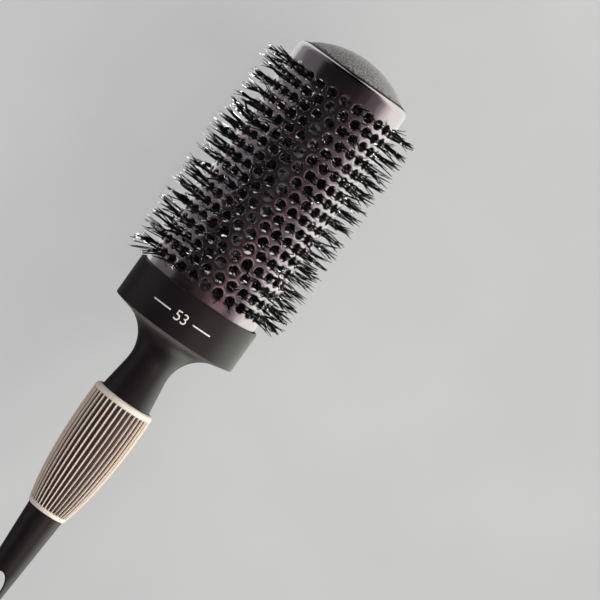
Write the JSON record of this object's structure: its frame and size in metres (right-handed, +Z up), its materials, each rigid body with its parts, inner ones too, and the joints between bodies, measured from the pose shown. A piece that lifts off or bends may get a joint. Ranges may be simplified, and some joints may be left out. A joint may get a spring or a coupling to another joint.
{
  "type": "round barrel brush",
  "caption": "Round styling brush: vented metal barrel with nylon tufts in every hole, domed end cap, wide dark collar and neck, ribbed beige grip, tapered tail with an oval hang hole.",
  "frame": {"origin": "under the middle of the brush's length, on its axis seen from above, at the height of the lowest bristle tips", "axes": "+X along the brush from the tail to the end cap, +Z up, along the hang hole, +Y across the brush"},
  "size_m": [0.2766, 0.075, 0.075],
  "materials": {
    "barrel_coating": "satin gloss mauve titanium coating on aluminium",
    "cap_plastic": "fine stippled matte",
    "soft_touch": "soft-touch matte with a broad sheen",
    "grip_rubber": "satin moulded rubber",
    "nylon": "glossy filament",
    "spine_steel": "drawn wire"
  },
  "bodies": {
    "root": {"barrel": "barrel_coating", "end_cap": "cap_plastic", "spine_wire_a": "spine_steel", "spine_wire_b": "spine_steel", "bristle_ring_01": "nylon", "bristle_ring_02": "nylon", "bristle_ring_03": "nylon", "bristle_ring_04": "nylon", "bristle_ring_05": "nylon", "bristle_ring_06": "nylon", "bristle_ring_07": "nylon", "bristle_ring_08": "nylon", "bristle_ring_09": "nylon", "bristle_ring_10": "nylon", "bristle_ring_11": "nylon", "bristle_ring_12": "nylon", "bristle_ring_13": "nylon", "bristle_ring_14": "nylon", "bristle_ring_15": "nylon", "bristle_ring_16": "nylon", "bristle_ring_17": "nylon", "bristle_ring_18": "nylon", "collar_neck": "soft_touch", "handle": "soft_touch", "grip_sleeve": "grip_rubber"}
  },
  "joints": []
}
